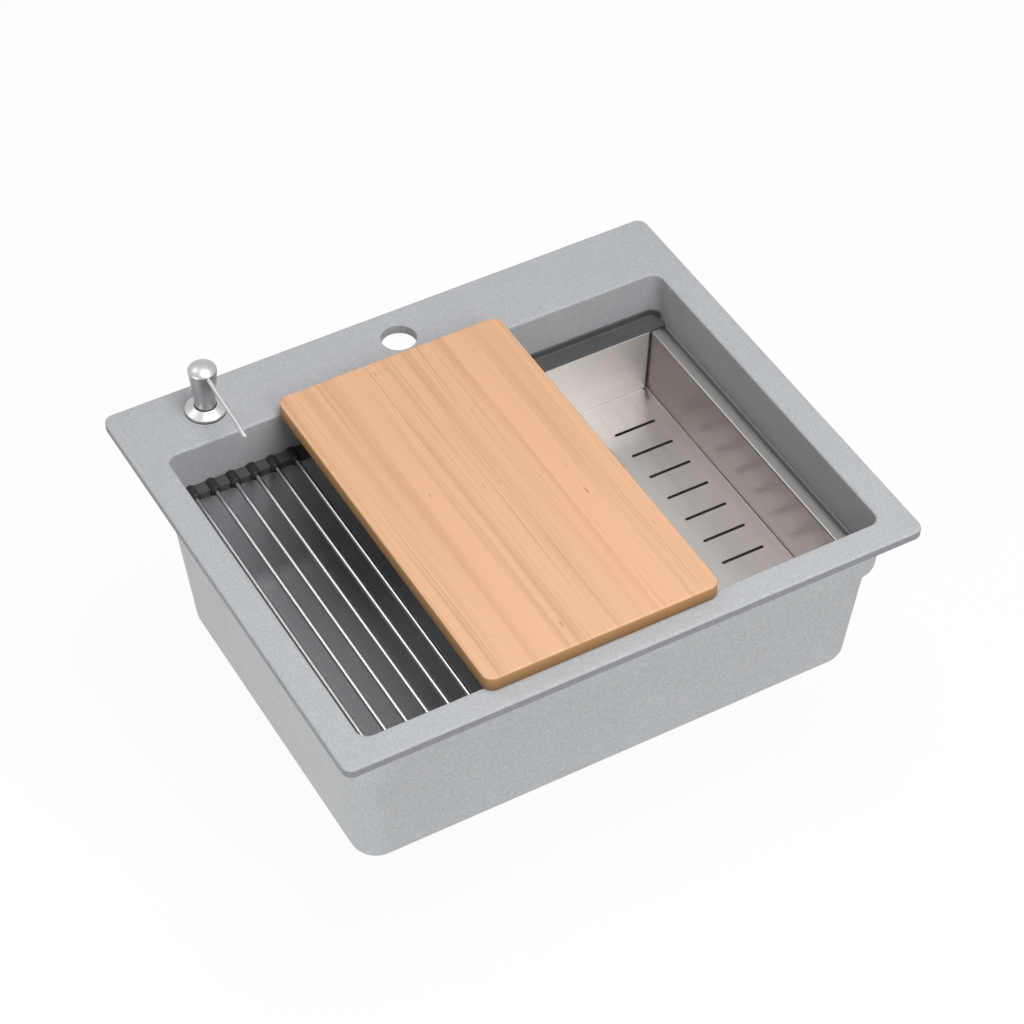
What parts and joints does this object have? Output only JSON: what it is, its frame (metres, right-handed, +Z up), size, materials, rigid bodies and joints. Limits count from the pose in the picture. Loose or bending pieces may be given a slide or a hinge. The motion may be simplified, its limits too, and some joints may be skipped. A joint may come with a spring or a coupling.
{
  "type": "workstation kitchen sink",
  "caption": "Drop-in composite workstation sink with a roll-up drying rack, a sliding colander, a cutting board, a pump soap dispenser and a basket strainer waste.",
  "frame": {"origin": "centre of the rim's outline in plan, at the level of the worktop, which is the rim's underside", "axes": "+X to the user's right along the rim's long side, +Y to the rear towards the tap deck, +Z up"},
  "size_m": [0.59, 0.5, 0.39],
  "materials": {
    "granite_composite": "matt moulded granite composite, fine grey speckle",
    "board_wood": "sanded and oiled light hardwood staves",
    "sheet_steel": "brushed stainless sheet",
    "rod_steel": "bright drawn stainless rod",
    "silicone": "matt charcoal silicone",
    "dispenser_steel": "satin brushed stainless",
    "gasket_rubber": "black rubber",
    "dark_plastic": "moulded dark plastic",
    "bottle_plastic": "translucent natural polyethylene",
    "white_plastic": "moulded white polypropylene",
    "spring_steel": "stainless spring wire",
    "waste_steel": "polished and brushed stainless"
  },
  "bodies": {
    "sink": {"sink_bowl": "granite_composite", "dispenser_collar": "dispenser_steel", "dispenser_gasket": "gasket_rubber", "dispenser_washer": "gasket_rubber", "dispenser_nut": "dark_plastic", "dispenser_bottle": "bottle_plastic", "pump_barrel": "white_plastic", "pump_dip_tube": "white_plastic", "pump_spring": "spring_steel", "drain_flange": "waste_steel", "drain_gasket": "gasket_rubber", "waste_gasket": "gasket_rubber", "waste_body": "white_plastic", "waste_screw": "waste_steel", "tail_nut": "white_plastic", "tail_washer": "gasket_rubber", "waste_pipe": "white_plastic"},
    "board": {"cutting_board": "board_wood"},
    "colander": {"colander_tray": "sheet_steel", "colander_runner_rear": "silicone", "colander_runner_front": "silicone"},
    "rack": {"rack_strip_rear": "silicone", "rack_strip_front": "silicone", "rack_rod_5": "rod_steel", "rack_rod_6": "rod_steel", "rack_rod_7": "rod_steel", "rack_rod_8": "rod_steel", "rack_rod_9": "rod_steel", "rack_rod_10": "rod_steel"},
    "rack_end_4": {"rack_link_4": "silicone", "rack_rod_4": "rod_steel"},
    "rack_end_3": {"rack_link_3": "silicone", "rack_rod_3": "rod_steel"},
    "rack_end_2": {"rack_link_2": "silicone", "rack_rod_2": "rod_steel"},
    "rack_end_1": {"rack_link_1": "silicone", "rack_rod_1": "rod_steel"},
    "pump": {"pump_stem": "white_plastic", "pump_piston": "white_plastic"},
    "head": {"dispenser_head": "dispenser_steel", "dispenser_spout": "dispenser_steel"},
    "basket": {"strainer_basket": "waste_steel", "basket_knob": "waste_steel", "basket_seal": "gasket_rubber"}
  },
  "joints": [
    {"name": "board_slide", "type": "slide", "parent": "sink", "child": "board", "axis": [1, 0, 0], "range_m": [-0.14, 0.2]},
    {"name": "colander_slide", "type": "slide", "parent": "sink", "child": "colander", "axis": [-1, 0, 0], "range_m": [0, 0.05]},
    {"name": "rack_slide", "type": "slide", "parent": "sink", "child": "rack", "axis": [1, 0, 0], "range_m": [0, 0.045]},
    {"name": "rack_roll_4", "type": "hinge", "parent": "rack", "child": "rack_end_4", "pos_m": [-0.16168, 0, -0.0396], "axis": [0, 1, 0], "range_deg": [0, 35]},
    {"name": "rack_roll_3", "type": "hinge", "parent": "rack_end_4", "child": "rack_end_3", "pos_m": [-0.18268, 0, -0.0396], "axis": [0, 1, 0], "range_deg": [0, 35]},
    {"name": "rack_roll_2", "type": "hinge", "parent": "rack_end_3", "child": "rack_end_2", "pos_m": [-0.20367, 0, -0.0396], "axis": [0, 1, 0], "range_deg": [0, 35]},
    {"name": "rack_roll_1", "type": "hinge", "parent": "rack_end_2", "child": "rack_end_1", "pos_m": [-0.22468, 0, -0.0396], "axis": [0, 1, 0], "range_deg": [0, 35]},
    {"name": "pump_press", "type": "slide", "parent": "sink", "child": "pump", "axis": [0, 0, -1], "range_m": [0, 0.009], "stiffness_N_per_m": 350, "springref_m": -0.012, "deforming": ["pump_spring"]},
    {"name": "head_swivel", "type": "hinge", "parent": "pump", "child": "head", "pos_m": [-0.205, 0.2115, 0.03], "axis": [0, 0, 1], "continuous": true},
    {"name": "basket_lift", "type": "slide", "parent": "sink", "child": "basket", "axis": [0, 0, 1], "range_m": [0, 0.04]}
  ],
  "couplings": [
    {"joint": "rack_roll_3", "follows": "rack_roll_4", "ratio": 1},
    {"joint": "rack_roll_2", "follows": "rack_roll_4", "ratio": 1},
    {"joint": "rack_roll_1", "follows": "rack_roll_4", "ratio": 1}
  ]
}
